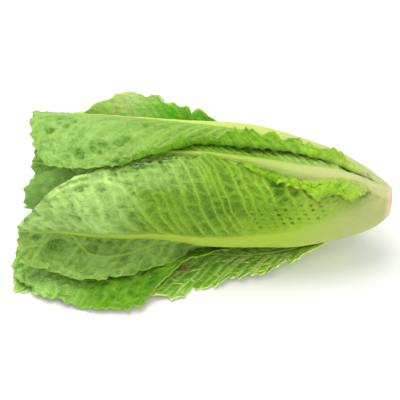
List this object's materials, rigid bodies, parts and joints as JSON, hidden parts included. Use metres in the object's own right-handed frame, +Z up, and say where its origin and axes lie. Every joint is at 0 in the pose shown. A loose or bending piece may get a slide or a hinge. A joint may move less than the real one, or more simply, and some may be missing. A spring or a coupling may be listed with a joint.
{
  "type": "romaine lettuce head",
  "caption": "Whole cut head of romaine lettuce lying on its side, crinkled green leaves with pale midribs wrapped round a short pale stem.",
  "frame": {"origin": "middle of the head's box, on the surface it lies on", "axes": "+X along the head towards the cut stem, -Y to the front where the large leaves spread on the table, +Z up"},
  "size_m": [0.3048, 0.1614, 0.1068],
  "materials": {
    "leaf_top": "fresh leaf, satin, with paler veins",
    "leaf_middle": "fresh leaf, satin, with paler veins",
    "leaf_front": "fresh leaf, satin, with paler veins",
    "leaf_lower": "fresh leaf, satin, with paler veins",
    "leaf_table": "fresh leaf, satin, with paler veins",
    "leaf_back": "fresh leaf, satin, with paler veins",
    "leaf_under": "fresh leaf, satin, with paler veins",
    "leaf_inner_01": "fresh leaf, satin, with paler veins",
    "leaf_inner_02": "fresh leaf, satin, with paler veins",
    "leaf_inner_03": "fresh leaf, satin, with paler veins",
    "leaf_inner_04": "fresh leaf, satin, with paler veins",
    "leaf_inner_05": "fresh leaf, satin, with paler veins",
    "leaf_inner_06": "fresh leaf, satin, with paler veins",
    "leaf_inner_07": "fresh leaf, satin, with paler veins",
    "leaf_inner_08": "fresh leaf, satin, with paler veins",
    "leaf_inner_09": "fresh leaf, satin, with paler veins",
    "leaf_inner_10": "fresh leaf, satin, with paler veins",
    "leaf_inner_11": "fresh leaf, satin, with paler veins",
    "leaf_inner_12": "fresh leaf, satin, with paler veins",
    "leaf_inner_13": "fresh leaf, satin, with paler veins",
    "leaf_inner_14": "fresh leaf, satin, with paler veins",
    "stem": "fresh cut stem, matt"
  },
  "bodies": {
    "root": {"leaf_top": "leaf_top", "leaf_middle": "leaf_middle", "leaf_front": "leaf_front", "leaf_lower": "leaf_lower", "leaf_table": "leaf_table", "leaf_back": "leaf_back", "leaf_under": "leaf_under", "leaf_inner_01": "leaf_inner_01", "leaf_inner_02": "leaf_inner_02", "leaf_inner_03": "leaf_inner_03", "leaf_inner_04": "leaf_inner_04", "leaf_inner_05": "leaf_inner_05", "leaf_inner_06": "leaf_inner_06", "leaf_inner_07": "leaf_inner_07", "leaf_inner_08": "leaf_inner_08", "leaf_inner_09": "leaf_inner_09", "leaf_inner_10": "leaf_inner_10", "leaf_inner_11": "leaf_inner_11", "leaf_inner_12": "leaf_inner_12", "leaf_inner_13": "leaf_inner_13", "leaf_inner_14": "leaf_inner_14", "stem": "stem"}
  },
  "joints": []
}
